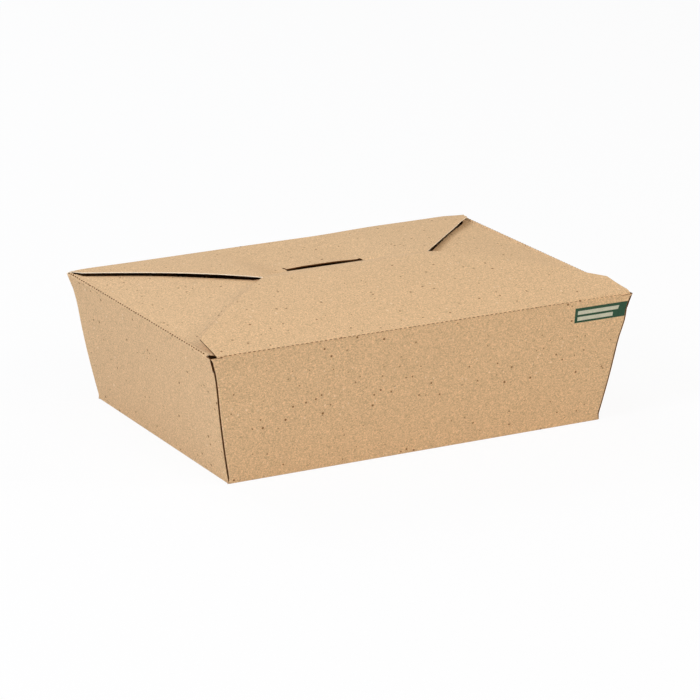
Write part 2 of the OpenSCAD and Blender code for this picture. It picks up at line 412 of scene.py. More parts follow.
# Folded tray
WEB_ROUND = 0.45
WEB_DEPTH = 1.0
WEB_DEPTH_RIGHT = 1.35
WEB_DEPTH_FOLD = 1.15
WEB_SKIN = 1.0
NOSE_REST = 1.15
NOSE_RADIUS = 0.3
NOSE_RADIUS_RIGHT = 0.18
WEB_SPREAD = 0.70
WEB_CLOSE = 3.0
ARC_STEPS = 4
NOSE_STEPS = 6
FOLD_ROUND = 0.05
BASE_REACH = 0.5
BASE_STEPS = 4
WEB_LEVELS = (1.5, 3, 5, 8, 13, 19, 25, 31, 37, 42, 46, 49.5, 52, 54, 55.2, WEB_TOP)
BULGE = 0.45
BULGE_TOP = 44.0
PINCH_LEFT = 0.3
PINCH_RIGHT = -0.75
PINCH_Z = 49.5
PINCH_RUN = 6.5
FLARE = 1.0
SIDE_SHARE = 0.45
CORNER_FADE = 38.0
FREE_LONG = 0.75
FREE_LONG_RIGHT = 1.6
FREE_BACK = 0.35
FREE_END = 0.9
CORNER_TOP = -0.45
# Reach from the corners, drop below the webs' top and rest below the rim of the painted corner
# shade
SHADE_CORNER_REACH = 5.5
SHADE_CORNER_DROP = 3.0
SHADE_CORNER_REST = 0.2
FRONT_RIM = 0.4
WALL_STEP = 5.0
WALL_CROWDING = 0.9


def knee(point):
    """Hand-folded corners: they bulge a little low down, the left webs pull them in and the right
    ones push them out near their top edge, and the free rim above flares out."""
    x, y, z = point
    push = FLARE * clamp((z - WEB_TOP) / (RIM_Z - WEB_TOP))
    if 0 < z < BULGE_TOP:
        push += BULGE * math.sin(math.pi * z / BULGE_TOP)
    push -= (PINCH_LEFT if x < 0 else PINCH_RIGHT) * math.exp(-((z - PINCH_Z) / PINCH_RUN) ** 2)
    near = smooth(1 - (end_plane(z) - abs(x)) / CORNER_FADE)
    near *= smooth(1 - (side_plane(z) - abs(y)) / CORNER_FADE)
    push *= near
    return Vector((x + push * math.copysign(1, x), y + SIDE_SHARE * push * math.copysign(1, y), z))


def corner_profile(z, side=-1):
    """Depths from the end wall's plane and from the long wall's, round one folded corner web."""
    grow = clamp(z / WEB_CLOSE)
    spread = WEB_SPREAD * z
    r = WEB_ROUND * grow
    deep_fold, skin, rest = WEB_DEPTH_FOLD * grow, WEB_SKIN * grow, NOSE_REST * grow
    deep = (WEB_DEPTH_RIGHT if side > 0 else WEB_DEPTH) * grow
    nose = (NOSE_RADIUS_RIGHT if side > 0 else NOSE_RADIUS) * grow
    turn = [math.radians(90 * k / ARC_STEPS) for k in range(ARC_STEPS + 1)]
    arc = [(deep + r - r * math.sin(t), r - r * math.cos(t)) for t in turn]
    fold_tip = max(spread, r + 4 * FOLD_ROUND * grow)
    crease = fold_tip - FOLD_ROUND * grow
    layer_a = [(lerp(deep, deep_fold, k / 4), lerp(r, crease, k / 4)) for k in (1, 2, 3, 4)]
    valley = [((deep_fold + skin) / 2, fold_tip), (skin, crease)]
    layer_b = [(lerp(skin, 2 * nose, k / 3), lerp(crease, rest, k / 3)) for k in (1, 2, 3)]
    half_turn = [math.radians(180 * k / NOSE_STEPS) for k in range(1, NOSE_STEPS + 1)]
    front = [(nose + nose * math.cos(t), rest - nose * math.sin(t)) for t in half_turn]
    return arc + layer_a + valley + layer_b + front


def wall_shares(half, fixed=()):
    """Column places across a wall from -1 to 1, closer together near the corners."""
    count = round(half / WALL_STEP)
    shares = [math.sin(math.pi / 2 * k / count) ** WALL_CROWDING for k in range(count + 1)]
    shares += list(fixed)
    return sorted({round(s * side, 6) for s in shares for side in (-1, 1)})


def tray_rows():
    """Rows of height, half length and half width up the walls, from the base's edge to the web's
    top."""
    rows = []
    for k in range(BASE_STEPS + 1):
        q = k / BASE_STEPS
        z = q * q * BASE_REACH * math.cos(END_LEAN)
        start, rise = -BASE_REACH * (1 - q) ** 2, BASE_REACH * q * q
        half_x = BASE_HALF_X + start + rise * math.sin(END_LEAN)
        half_y = BASE_HALF_Y + start + rise * math.sin(SIDE_LEAN)
        rows.append((z, half_x, half_y))
    return rows + [(level, end_plane(level), side_plane(level)) for level in WEB_LEVELS]


END_FLAP_FRONT = 73.0
END_FLAP_BACK = 76.2
FRONT_SHARE = END_FLAP_FRONT / (RIM_HALF_Y - FREE_END)
BACK_SHARE = END_FLAP_BACK / (RIM_HALF_Y - FREE_END)
LONG_SHARES = wall_shares(RIM_HALF_X)
END_SHARES = wall_shares(RIM_HALF_Y, fixed=(FRONT_SHARE, BACK_SHARE))
FREE_LEVELS = (WEB_TOP + 0.3, 57.5, 59, 60.5, 61.7, RIM_Z - FOLD_REACH)
SAME_SHARE = 1e-6
WALL_TOP = RIM_Z - 0.66
NOTCH_X = RIM_HALF_X - 4.0


def free_x(share, z, side=1):
    """Place along a long wall's free rim, whose two ends stop short of the end walls."""
    gap = FREE_BACK if side > 0 else FREE_LONG_RIGHT if share > 0 else FREE_LONG
    return share * (end_plane(z) - gap)


def free_end_point(side, share, z):
    """A point of an end wall's free rim, whose two ends stop short of the long walls."""
    return knee(Vector((side * end_plane(z), side * share * (side_plane(z) - FREE_END), z)))


def tray_faces():
    """The base, walls and corner webs as one skin, and its part deep in the webs' folds."""
    faces, hidden = [], []
    rows = tray_rows()
    x_base, y_base = rows[0][1], rows[0][2]
    base = [[Vector((-s * x_base, t * y_base, 0)) for s in LONG_SHARES] for t in END_SHARES]
    faces += grid_faces(base)
    for side in (-1, 1):
        long_rows, end_rows = [], []
        for z, half_x, half_y in rows:
            rest = corner_profile(z)[-1][1]
            row = []
            for s in LONG_SHARES:
                x_side = -side if s > 0 else side
                edge = corner_profile(z, x_side)[0][0]
                row.append(knee(Vector((-side * s * (half_x - edge), side * half_y, z))))
            long_rows.append(row)
            end_rows.append([
                knee(Vector((side * half_x, side * s * (half_y - rest), z))) for s in END_SHARES
            ])
        for z in FREE_LEVELS:
            y = side * side_plane(z)
            places = [free_x(-side * s, z, side) for s in LONG_SHARES]
            long_rows.append([knee(Vector((x, y, z))) for x in places])
            end_rows.append([free_end_point(side, s, z) for s in END_SHARES])
        if side < 0:
            long_rows = long_rows[:-1] + [[front_top(p) for p in long_rows[-1]]]
        faces += grid_faces(long_rows) + grid_faces(end_rows)
        for corner, from_share in ((-side, FRONT_SHARE), (side, BACK_SHARE)):
            shares = [s for s in END_SHARES if s * corner >= from_share - SAME_SHARE]
            levels = (FREE_LEVELS[-1], RIM_Z + CORNER_TOP)
            faces += grid_faces([[free_end_point(side, s, z) for s in shares] for z in levels])
    for side_x in (-1, 1):
        for side_y in (-1, 1):
            corner_rows = []
            for z, half_x, half_y in rows:
                points = [
                    knee(Vector((side_x * (half_x - d), side_y * (half_y - e), z)))
                    for d, e in corner_profile(z, side_x)
                ]
                corner_rows.append(points if side_x * side_y < 0 else points[::-1])
            last = len(corner_rows[0]) - 2
            deep = range(ARC_STEPS, last - NOSE_STEPS // 2)
            deep = deep if side_x * side_y < 0 else [last - j for j in deep]
            faces += grid_faces(corner_rows, lambda i, j: j not in deep)
            hidden += grid_faces(corner_rows, lambda i, j: j in deep)
    return faces, hidden


def front_top(point):
    """The front wall ends just under the perforated fold, and its free corners stand up beside
    it."""
    level = RIM_Z + CORNER_TOP if abs(point.x) > NOTCH_X else WALL_TOP
    return knee(Vector((point.x, -side_plane(level), level)))


# Section of the front flap
CREST_LIFT = 9.0
RISE_ANGLE = math.radians(12)
FALL_ANGLE = math.radians(17)
CREST_R = 30.0
ROOT_LIFT = 2.0
ROOT_RUN = 101.5
FRONT_SIDE = 17.5
FLAP_HALF = 107.6
FRONT_CROSS = 43.2
RIGHT_LIFT = 1.0
RIGHT_FLARE = 2.0
BEND_R = 3.0
TONGUE_L = 12.0
NECK_HALF = 15.5
HEAD_HALF = 18.5
NECK_L = 4.5
HEAD_ROUND = 4.0
LIP = 0.55
LIP_STEPS = 6
RISE_STEPS = 28
FALL_STEPS = 12
BEND_STEPS = 12
ROOT_STEP = 0.01


def front_section():
    """Run and height of the flap's upper face, from the lip over the fold to the tongue's end."""
    fall = CREST_LIFT - ROOT_LIFT - CREST_R * (1 - math.cos(FALL_ANGLE))
    fall_straight = fall / math.tan(FALL_ANGLE)
    crest_run = ROOT_RUN - fall_straight - CREST_R * math.sin(FALL_ANGLE)
    rise_r = (crest_run * math.tan(RISE_ANGLE) - CREST_LIFT) / (1 / math.cos(RISE_ANGLE) - 1)
    below = Vector((math.sin(SIDE_LEAN), -math.cos(SIDE_LEAN)))
    along = Vector((math.cos(RISE_ANGLE), math.sin(RISE_ANGLE)))
    points = rounded_fold(Vector((0, 0)), below, along, LIP, LIP_STEPS)
    crest = Vector((crest_run, CREST_LIFT))
    for k in range(RISE_STEPS + 1):
        turn = -RISE_ANGLE * (1 - k / RISE_STEPS)
        points.append(crest + rise_r * Vector((math.sin(turn), math.cos(turn) - 1)))
    for k in range(1, FALL_STEPS + 1):
        turn = FALL_ANGLE * k / FALL_STEPS
        points.append(crest + CREST_R * Vector((math.sin(turn), math.cos(turn) - 1)))
    root = Vector((ROOT_RUN, ROOT_LIFT))
    points.append(root - ROOT_STEP * Vector((math.cos(FALL_ANGLE), -math.sin(FALL_ANGLE))))
    centre = root - BEND_R * Vector((math.sin(FALL_ANGLE), math.cos(FALL_ANGLE)))
    for k in range(BEND_STEPS + 1):
        turn = lerp(FALL_ANGLE, math.pi / 2, k / BEND_STEPS)
        points.append(centre + BEND_R * Vector((math.sin(turn), math.cos(turn))))
    points.append(points[-1] - Vector((0, TONGUE_L)))
    return points


FRONT_SECTION = front_section()
CROSS_Y = 2.25
ROOT_Y = ROOT_RUN - RIM_HALF_Y
FLAP_REST = 0.12
TWIST = 0.5
TWIST_START = 50.0
TWIST_END = 18.0


def twist_share(run):
    """The front flap twists most where it crosses the back flap, and not at its two folds."""
    return smooth((run - FRONT_SIDE) / TWIST_START) * smooth((ROOT_RUN - run) / TWIST_END)


def flap_twist(x, y):
    return TWIST * clamp(x / CROSS_X, -1, 1) * twist_share(y + RIM_HALF_Y)


def front_lift(y):
    """Height of the front flap's upper face over the rim at a depth of the box."""
    run = y + RIM_HALF_Y
    for a, b in zip(FRONT_SECTION, FRONT_SECTION[1:]):
        if a.x <= run <= b.x:
            return lerp(a.y, b.y, (run - a.x) / (b.x - a.x))
    return ROOT_LIFT


# Flaps that stay with the tray
END_TIP_X = 42.25
END_TIP_HALF = 10.0
END_SLOPE = 0.118
END_BEND = 0.0004
END_DIP = 1.1
END_DIP_FRONT = 0.3
END_DIP_START = 2.0
END_DIP_RUN = 34.0
END_RAISE = 2.1
END_RAISE_FROM = 8.0
END_RAISE_RUN = 30.0
END_EAR = 1.8
END_EAR_RUN = 3.0
END_TRIM_LEFT = 4.2
END_TRIM_RIGHT = 3.2
END_TRIM_TIP = 4.6
TRIM_RUN = 4.2
TRIM_FADE = 4.5
END_RUNS = (1.5, END_EAR_RUN, TRIM_RUN, 5.5, 9, 14, 20, 27, 34, 41, 48, 54, 59, 63)
TIP_ROUND = 5.0
TIP_TURNS = (20, 40, 60, 75, 90)
SLIT_LEFT = 19.3
SLIT_RIGHT = 22.0
SLIT_FAR = 27.3
SLIT_NEAR = 23.45
SLIT_COLUMNS = 6
SLIT_MARGIN = 0.5
HOOK_END = 30.4
HOOK_END_RIGHT = 27.9
HOOK_WIDTH = 0.95
HOOK_REACH = 1.1
BACK_ROOT = 108.5
SHOULDER_X = 106.75
SHOULDER_RUN = 8.0
SHOULDER_SHIFT = 0.7
CROSS_X = 45.0
CROSS_RUN = 75.5
FREE_RUN = 90.0
ROOT_HALF = 20.5
MID_SLOPE = 0.047
FAN_SLOPE = 0.155
FAN_BEND = 8.3e-6
FAN_RIGHT = 0.8
FAN_RIGHT_FROM = 54.0
FAN_RIGHT_RUN = 22.0
SLIT_SAG = 0.45
SAG_FROM = 8.0
SAG_REACH = 12.0
SAG_RUN = 40.0
PRESS_RUN = 57.0
PRESS_REACH = 5.5
PRESS_DEPTH = 1.3
PRESS_HALF = 36.0
PRESS_FADE = 13.0
HUMP = 0.5
HUMP_MIDDLE = 0.35
HUMP_RIGHT = 0.85
HUMP_END = 0.45
HUMP_FADE = 38.0
HUMP_SIDE = 8.0
HUMP_FROM = 110.0
HUMP_RIGHT_FROM = 20.0
HUMP_RIGHT_RUN = 40.0
HUMP_END_FROM = 96.0
HUMP_END_RUN = 12.0
RUNS_TO_SLIT = (2, 4, 6, SHOULDER_RUN, 12, 17, 22, 27, 32, 37, 41, 44, 46)
RUNS_IN_SLIT = (51.7, 53)
RUNS_PAST_SLIT = (55.5, 57, 58.5, 60, 61.5, 63, 65, 69, 73, CROSS_RUN, 79, 83, 87, FREE_RUN)


def end_flap_half(run, back):
    """Half width of an end flap towards the back or the front wall, from its ears to its round
    tip."""
    length = RIM_HALF_X - END_TIP_X
    tip_from = length - TIP_ROUND
    ear = END_FLAP_FRONT + END_EAR
    if run > tip_from:
        round_part = math.sqrt(max(0.0, TIP_ROUND ** 2 - (run - tip_from) ** 2))
        return END_TIP_HALF - TIP_ROUND + round_part
    if back and run < END_EAR_RUN:
        return lerp(END_FLAP_BACK, ear, run / END_EAR_RUN)
    if run < END_EAR_RUN:
        return lerp(END_FLAP_FRONT, ear, run / END_EAR_RUN)
    return lerp(ear, END_TIP_HALF, (run - END_EAR_RUN) / (tip_from - END_EAR_RUN))


def end_flap_faces(side):
    """An end flap with its rounded fold. Its tip lies under the two long flaps, and its back edge
    is trimmed so that a gap stays open beside the back flap's edge."""
    above = Vector((-side, 0, END_SLOPE)).normalized()
    below = Vector((-side * math.sin(END_LEAN), 0, -math.cos(END_LEAN)))
    corner = Vector((side * RIM_HALF_X, 0, RIM_Z))
    fold = rounded_fold(corner, below, above, FOLD_REACH)
    low, high = -FRONT_SHARE - SAME_SHARE, BACK_SHARE + SAME_SHARE
    columns = [s for s in END_SHARES if low <= side * s <= high]
    foot = fold[0]
    foot_reach = side_plane(foot.z) - FREE_END
    reach = RIM_HALF_Y - FREE_END
    rows = [[knee(Vector((foot.x, side * s * foot_reach, foot.z))) for s in columns]]
    rows += [[Vector((point.x, side * s * reach, point.z)) for s in columns] for point in fold[1:]]
    length = RIM_HALF_X - END_TIP_X
    runs = list(END_RUNS)
    runs += [length - TIP_ROUND * (1 - math.sin(math.radians(a))) for a in TIP_TURNS]
    trim_fade = TRIM_FADE if side > 0 else TRIM_RUN - END_EAR_RUN
    for run in runs:
        trim = lerp(END_TRIM_RIGHT, END_TRIM_TIP, run / length) if side > 0 else END_TRIM_LEFT
        grown = smooth((run - END_EAR_RUN) / trim_fade)
        raised = smooth((run - END_RAISE_FROM) / END_RAISE_RUN)
        row = []
        for s in columns:
            across = side * s / (BACK_SHARE if side * s > 0 else FRONT_SHARE)
            half = end_flap_half(run, across > 0)
            half -= trim * grown * smooth(across) * min(1.0, half / END_TIP_HALF)
            dip = lerp(END_DIP_FRONT, END_DIP, (across + 1) / 2) * (1 - smooth(run / END_DIP_RUN))
            dip *= smooth(run / END_DIP_START)
            lift = END_SLOPE * run - END_BEND * run * run - dip
            lift += END_RAISE * smooth(-across) * raised
            row.append(Vector((corner.x - side * run, across * half, RIM_Z + lift)))
        rows.append(row)
    return grid_faces(rows)


def back_half_width(run, side=1):
    """Half width of the back flap, whose left shoulder is a little further in than its right."""
    slant = (CROSS_X - SHOULDER_X) / (CROSS_RUN - SHOULDER_RUN)
    shoulder = SHOULDER_X + side * SHOULDER_SHIFT
    shoulder_run = SHOULDER_RUN + side * SHOULDER_SHIFT / slant
    if run < shoulder_run:
        return lerp(BACK_ROOT, shoulder, run / shoulder_run)
    return shoulder + slant * (run - shoulder_run)


def back_hump(x):
    """The back fold bows up a little, most at its right, where the flap pulls at it."""
    hump = HUMP + HUMP_MIDDLE * smooth((x + HUMP_FROM) / HUMP_FROM)
    hump += HUMP_RIGHT * smooth((x - HUMP_RIGHT_FROM) / HUMP_RIGHT_RUN)
    return hump * (1 - HUMP_END * smooth((x - HUMP_END_FROM) / HUMP_END_RUN))


def hump_edge(x, run):
    """The bow dies out towards the flap's left side only."""
    return 1.0 if x > 0 else smooth((back_half_width(run, -1) + x) / HUMP_SIDE)


def front_flap_half(y):
    """Half width of the front flap at a depth of the box."""
    if y < CROSS_Y:
        return FRONT_CROSS
    return max(0.0, lerp(FRONT_CROSS, ROOT_HALF, (y - CROSS_Y) / (ROOT_Y - CROSS_Y)))


def back_lift(x, run):
    """Height of the back flap over the rim: fanned up at the sides, and pressed down under the
    front flap."""
    outward = smooth((abs(x) - ROOT_HALF) / (CROSS_X - ROOT_HALF))
    right = FAN_RIGHT * smooth(x / CROSS_X) * smooth((run - FAN_RIGHT_FROM) / FAN_RIGHT_RUN)
    fan = FAN_SLOPE * run - FAN_BEND * run ** 3 + right
    lift = lerp(MID_SLOPE * run, fan, outward)
    sag = SLIT_SAG * smooth((abs(x) - SAG_FROM) / SAG_REACH)
    lift -= sag * (1 - outward) * smooth(run / SAG_RUN)
    lift += back_hump(x) * smooth(1 - run / HUMP_FADE) * hump_edge(x, run)
    press = PRESS_DEPTH * smooth(1 - abs(run - PRESS_RUN) / PRESS_REACH)
    lift -= press * smooth((PRESS_HALF - abs(x)) / PRESS_FADE)
    y = RIM_HALF_Y - run
    if y < ROOT_Y:
        beside = max(0.0, abs(x) - front_flap_half(y))
        lift = min(lift, front_lift(y) + flap_twist(x, y) - BOARD - FLAP_REST + beside)
    return lift


def back_flap_faces():
    """The back flap with its fold, slit and the two small return cuts."""
    wall_top = RIM_Z - FOLD_REACH
    inner = [SLIT_LEFT * k / SLIT_COLUMNS for k in range(SLIT_COLUMNS)]
    inner += [SLIT_LEFT - HOOK_WIDTH, SLIT_LEFT]
    outer_count = (len(LONG_SHARES) - 1) // 2 - len(inner) + 1

    def columns(run):
        steps = [k / outer_count for k in range(1, outer_count + 1)]
        right = [x * SLIT_RIGHT / SLIT_LEFT for x in inner]
        right += [SLIT_RIGHT + (back_half_width(run, 1) - SLIT_RIGHT) * s for s in steps]
        left = inner + [SLIT_LEFT + (back_half_width(run, -1) - SLIT_LEFT) * s for s in steps]
        return right[::-1] + [-x for x in left[1:]]

    fold_x = [free_x(-s, wall_top) for s in LONG_SHARES]
    below = Vector((0, -math.sin(SIDE_LEAN), -math.cos(SIDE_LEAN)))
    above = Vector((0, -1, FAN_SLOPE)).normalized()
    fold = rounded_fold(Vector((0, RIM_HALF_Y, RIM_Z)), below, above, FOLD_REACH)
    rows = []
    for k, middle in enumerate(fold):
        row = []
        for x_wall, x_flap in zip(fold_x, columns(0)):
            point = middle.copy()
            point.x = lerp(x_wall, x_flap, smooth(k / FOLD_STEPS))
            point.z += back_hump(x_flap) * k / FOLD_STEPS * hump_edge(x_flap, 0)
            row.append(knee(point))
        rows.append(row)
    first_flap_row = len(rows)
    cuts = [RIM_HALF_Y - y for y in (HOOK_END, HOOK_END_RIGHT, SLIT_FAR)]
    slit_near = RIM_HALF_Y - SLIT_NEAR
    for run in (*RUNS_TO_SLIT, *cuts, *RUNS_IN_SLIT, slit_near, *RUNS_PAST_SLIT):
        y = RIM_HALF_Y - run
        rows.append([Vector((x, y, RIM_Z + back_lift(x, run))) for x in columns(run)])

    def keep(i, j):
        if i < first_flap_row:
            return True
        y = (rows[i][j].y + rows[i + 1][j].y) / 2
        x = (rows[i][j].x + rows[i][j + 1].x) / 2
        hook_end, half = (HOOK_END, SLIT_LEFT) if x < 0 else (HOOK_END_RIGHT, SLIT_RIGHT)
        in_slit = SLIT_NEAR < y < SLIT_FAR and abs(x) < half
        in_hook = SLIT_NEAR < y < hook_end and half - HOOK_REACH * HOOK_WIDTH < abs(x) < half
        return not (in_slit or in_hook)

    return grid_faces(rows, keep)


def build_carton():
    tray, deep_folds = tray_faces()
    faces = tray + end_flap_faces(-1) + end_flap_faces(1) + back_flap_faces()
    obj = mesh_object("carton_board", faces, hidden=deep_folds)
    bm = bmesh.new()
    bm.from_mesh(obj.data)
    bmesh.ops.recalc_face_normals(bm, faces=bm.faces)
    base = min(bm.faces, key=lambda f: f.calc_center_median().z)
    if base.normal.z > 0:
        bmesh.ops.reverse_faces(bm, faces=bm.faces)
    bm.to_mesh(obj.data)
    bm.free()
    # The fourth material paints shade on the faces deep in the webs' folds.
    thicken(obj, (kraft_outside, cut_edge, kraft_inside, painted_crevice_shade, cut_edge, kraft_inside))
    settle(obj)
    for vertex in obj.data.vertices:
        vertex.co.z = max(vertex.co.z, 0.0)
    for face in obj.data.polygons:
        x, y, z = face.center / MM
        # Painted shade: near each corner, from just under the webs' top to the rim, the inner
        # faces, and at the front also the cut faces, take the dark crevice colour for the shade in
        # the corner's gap.
        corner_shade_spot = abs(x) > RIM_HALF_X - SHADE_CORNER_REACH and abs(y) > RIM_HALF_Y - SHADE_CORNER_REACH
        corner_shade_spot = corner_shade_spot and WEB_TOP - SHADE_CORNER_DROP < z < RIM_Z - SHADE_CORNER_REST
        along_front = y < FRONT_RIM - RIM_HALF_Y and z > WEB_TOP
        # Painted shade: the cut faces round the slit and its return cuts take the dark crevice
        # colour for the shade inside the slit.
        slit_rim_shade = SLIT_NEAR - SLIT_MARGIN < y < HOOK_END + SLIT_MARGIN
        slit_rim_shade = slit_rim_shade and abs(x) < SLIT_RIGHT + SLIT_MARGIN
        dark = (CUT, INSIDE) if y < 0 else (INSIDE,)
        if face.material_index in dark and corner_shade_spot:
            face.material_index = SHADED
        elif face.material_index == CUT and along_front:
            face.material_index = OUTSIDE
        elif face.material_index == CUT and slit_rim_shade:
            face.material_index = SHADED
    return obj


carton_board = build_carton()


# Front flap and its tongue
CORNER_POWER = 4.0
NECK_STEP = 0.3
HEAD_STEP = 2.0
# Distance from the tongue's end, and how much narrower its head is there
HEAD_CURVE = ((HEAD_ROUND, 0.0), (1.6, 0.9), (0.5, 2.3), (0.0, 3.6))
TWIST_STOPS = 20
CURL_START = 2
CURL_RUN = 26
FLARE_STOPS = range(0, 19, 2)
LEFT_EDGE = 0.9
LIP_SHOWN = 0.3
FLAP_COLUMNS = 73
FLAP_ROWS = 240


def path_lengths(points):
    total = [0.0]
    for a, b in zip(points, points[1:]):
        total.append(total[-1] + (b - a).length)
    return total


def poly_curve(name, points):
    curve = bpy.data.curves.new(name, "CURVE")
    curve.dimensions = "3D"
    line = curve.splines.new("POLY")
    line.points.add(len(points) - 1)
    for slot, point in zip(line.points, points):
        slot.co = (*[c * MM for c in point], 1.0)
    obj = bpy.data.objects.new(name, curve)
    bpy.context.scene.collection.objects.link(obj)
    return obj


def new_tree(name, inputs):
    """A Geometry Nodes tree with a geometry output and named inputs, and its two end nodes."""
    tree = bpy.data.node_groups.new(name, "GeometryNodeTree")
    tree.interface.new_socket("Geometry", in_out="OUTPUT", socket_type="NodeSocketGeometry")
    for label, kind in inputs:
        tree.interface.new_socket(label, in_out="INPUT", socket_type=kind)
    return tree, tree.nodes.new("NodeGroupInput"), tree.nodes.new("NodeGroupOutput")


def end_tree(tree, geometry, material, end):
    """The last nodes of a tree, which make its instances real and give them a material."""
    real = new_node(tree, "GeometryNodeRealizeInstances", {0: geometry})
    paint = new_node(tree, "GeometryNodeSetMaterial", {
        "Geometry": real.outputs[0], "Material": material,
    })
    set_inputs(tree, end, {0: paint.outputs[0]})


def socket_id(tree, label):
    return next(
        item.identifier for item in tree.interface.items_tree
        if item.item_type == "SOCKET" and item.in_out == "INPUT" and item.name == label
    )


def share_curve(tree, along, points):
    """A float curve of straight pieces through points of a share of the blank's length and a
    value."""
    node = new_node(tree, "ShaderNodeFloatCurve", {"Value": along})
    shape = node.mapping.curves[0]
    node.mapping.use_clip = False
    while len(shape.points) < len(points):
        shape.points.new(0.5, 0.5)
    for slot, place in zip(shape.points, points):
        slot.location = place
        slot.handle_type = "VECTOR"
    node.mapping.update()
    return node.outputs[0]


def bent_blank_tree(outline, twist, curl, flare):
    """A flat blank, cut to an outline in shares of its length and half width, and bent along a
    section curve, with one side lifted and the other lowered along it, and its right root corner
    curled up and flared out."""
    tree, start, end = new_tree("bent_blank", [
        ("Section", "NodeSocketObject"), ("Half width", "NodeSocketFloat"),
        ("Twist", "NodeSocketFloat"), ("Twist reach", "NodeSocketFloat"),
        ("Right lift", "NodeSocketFloat"), ("Right flare", "NodeSocketFloat"),
        ("Columns", "NodeSocketInt"), ("Rows", "NodeSocketInt"), ("Board", "NodeSocketMaterial"),
    ])
    grid = new_node(tree, "GeometryNodeMeshGrid", {
        "Size X": 2.0, "Size Y": 1.0, "Vertices X": start.outputs["Columns"],
        "Vertices Y": start.outputs["Rows"],
    })
    position = new_node(tree, "GeometryNodeInputPosition").outputs[0]
    place = new_node(tree, "ShaderNodeSeparateXYZ", {0: position})
    along = math_node(tree, "ADD", place.outputs["Y"], 0.5)
    shape = share_curve(tree, along, outline)
    half_width = math_node(tree, "MULTIPLY", shape, start.outputs["Half width"])
    across = math_node(tree, "MULTIPLY", place.outputs["X"], half_width)
    right = math_node(tree, "MAXIMUM", place.outputs["X"], 0.0)
    corner = math_node(tree, "POWER", right, CORNER_POWER)
    spread = share_curve(tree, along, flare)
    spread = math_node(tree, "MULTIPLY", spread, start.outputs["Right flare"])
    across = math_node(tree, "ADD", across, math_node(tree, "MULTIPLY", corner, spread))
    sideways = math_node(tree, "DIVIDE", across, start.outputs["Twist reach"])
    sideways = math_node(tree, "MINIMUM", math_node(tree, "MAXIMUM", sideways, -1.0), 1.0)
    raised = math_node(tree, "MULTIPLY", sideways, share_curve(tree, along, twist))
    raised = math_node(tree, "MULTIPLY", raised, start.outputs["Twist"])
    curled = math_node(tree, "MULTIPLY", corner, share_curve(tree, along, curl))
    curled = math_node(tree, "MULTIPLY", curled, start.outputs["Right lift"])
    raised = math_node(tree, "ADD", raised, curled)
    info = new_node(tree, "GeometryNodeObjectInfo", {"Object": start.outputs["Section"]})
    sample = new_node(tree, "GeometryNodeSampleCurve", {
        "Curves": info.outputs["Geometry"], "Factor": along,
    }, mode="FACTOR")
    bent = new_node(tree, "ShaderNodeSeparateXYZ", {0: sample.outputs["Position"]})
    target = new_node(tree, "ShaderNodeCombineXYZ", {
        "X": across, "Y": bent.outputs["Y"],
        "Z": math_node(tree, "ADD", bent.outputs["Z"], raised),
    })
    move = new_node(tree, "GeometryNodeSetPosition", {
        "Geometry": grid.outputs["Mesh"], "Position": target.outputs[0],
    })
    end_tree(tree, move.outputs[0], start.outputs["Board"], end)
    return tree


def run_tree(name, tree, inputs):
    """An object with a node tree on it, whose named inputs are set before it is first evaluated."""
    obj = bpy.data.objects.new(name, bpy.data.meshes.new(name))
    bpy.context.scene.collection.objects.link(obj)
    modifier = obj.modifiers.new("shape", "NODES")
    modifier.node_group = tree
    for label, value in inputs.items():
        modifier[socket_id(tree, label)] = value
    return obj


def front_outline(side_end, cross, root, total):
    """Half width of the flap and its tongue along the blank, as shares. Its stops are lengths from
    the fold: the straight sides' end, the crossing with the back flap, and the tongue's root."""
    neck_end = total - TONGUE_L + NECK_L
    runs = [
        (0, FLAP_HALF), (side_end, FLAP_HALF), (cross, FRONT_CROSS), (root - NECK_STEP, ROOT_HALF),
        (root + NECK_STEP, NECK_HALF), (neck_end, NECK_HALF), (neck_end + HEAD_STEP, HEAD_HALF),
    ]
    runs += [(total - rest, HEAD_HALF - narrower) for rest, narrower in HEAD_CURVE]
    return [(run / total, half / FLAP_HALF) for run, half in runs]


